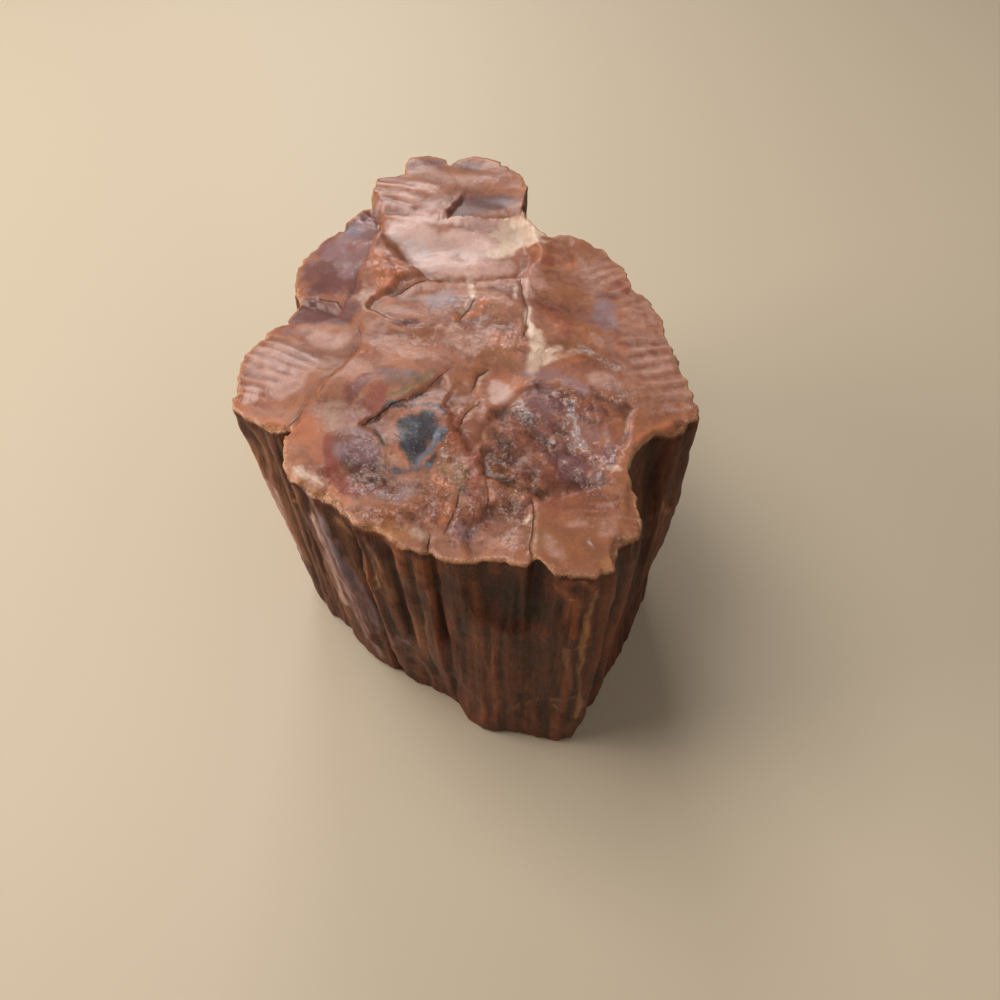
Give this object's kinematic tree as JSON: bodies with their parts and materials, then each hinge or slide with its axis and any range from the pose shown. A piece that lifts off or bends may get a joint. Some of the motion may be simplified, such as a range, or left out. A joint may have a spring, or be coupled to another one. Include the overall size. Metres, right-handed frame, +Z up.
{
  "type": "petrified wood",
  "caption": "Chunk of petrified wood standing on its flat lower end, with split, vertically grained sides, a narrow lobe at the back and a broken, stepped top.",
  "frame": {"origin": "on the flat lower end, under the middle of the box round the stone", "axes": "+Z up along the wood grain, +Y from the wide front to the narrow back lobe, +X to the right"},
  "size_m": [0.0686, 0.0997, 0.0582],
  "materials": {
    "agatized_wood": "satin agate, red-brown with rose, plum, cream and blue-black patches; duller brown along the split sides"
  },
  "bodies": {
    "root": {"petrified_wood": "agatized_wood"}
  },
  "joints": []
}
